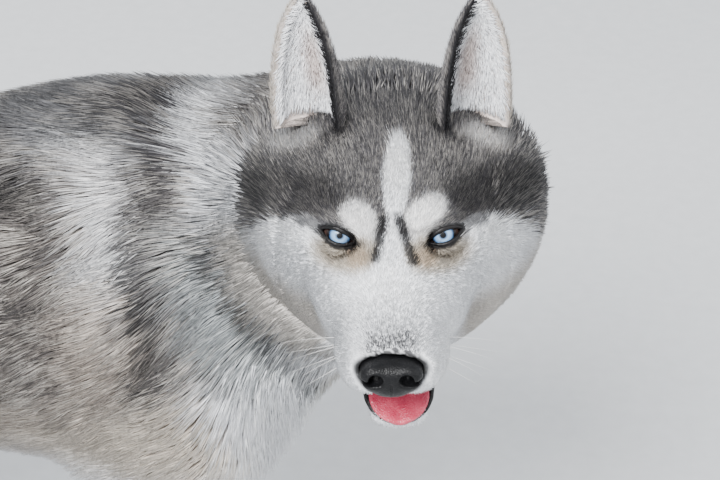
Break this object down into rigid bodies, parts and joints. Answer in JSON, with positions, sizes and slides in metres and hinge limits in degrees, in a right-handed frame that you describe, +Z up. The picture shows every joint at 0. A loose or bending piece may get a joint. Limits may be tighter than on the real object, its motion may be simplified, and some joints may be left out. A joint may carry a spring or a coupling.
{
  "type": "siberian husky, standing, life-size still model",
  "caption": "Life-size standing siberian husky, head turned to its right with mouth slightly open, ears upright and brush tail hanging.",
  "frame": {"origin": "on the floor under the middle of the dog's bounding box", "axes": "+X towards the dog's chest, +Y to its left, +Z up; the head is turned towards -Y"},
  "size_m": [0.8692, 0.4168, 0.7308],
  "materials": {
    "coat": "dense matt fur, grey agouti over the back with white mask and chest",
    "pale_coat": "dense matt white and cream fur",
    "nose_leather": "pebbled, moist black",
    "eye": "wet and clear, pale blue iris",
    "tongue": "moist pink",
    "claw": "smooth dark horn"
  },
  "bodies": {
    "root": {"ear_left": "coat", "ear_right": "coat", "eye_left": "eye", "eye_right": "eye", "foreclaw_left_1": "claw", "foreclaw_left_2": "claw", "foreclaw_left_3": "claw", "foreclaw_left_4": "claw", "foreclaw_right_1": "claw", "foreclaw_right_2": "claw", "foreclaw_right_3": "claw", "foreclaw_right_4": "claw", "foreleg_left": "pale_coat", "foreleg_right": "pale_coat", "forepaw_left": "pale_coat", "forepaw_right": "pale_coat", "head": "coat", "hindclaw_left_1": "claw", "hindclaw_left_2": "claw", "hindclaw_left_3": "claw", "hindclaw_left_4": "claw", "hindclaw_right_1": "claw", "hindclaw_right_2": "claw", "hindclaw_right_3": "claw", "hindclaw_right_4": "claw", "hindpaw_left": "pale_coat", "hindpaw_right": "pale_coat", "jaw": "pale_coat", "neck": "coat", "nose": "nose_leather", "shank_left": "pale_coat", "shank_right": "pale_coat", "tail_base": "coat", "tail_brush": "coat", "thigh_left": "coat", "thigh_right": "coat", "tongue": "tongue", "torso": "coat"}
  },
  "joints": []
}
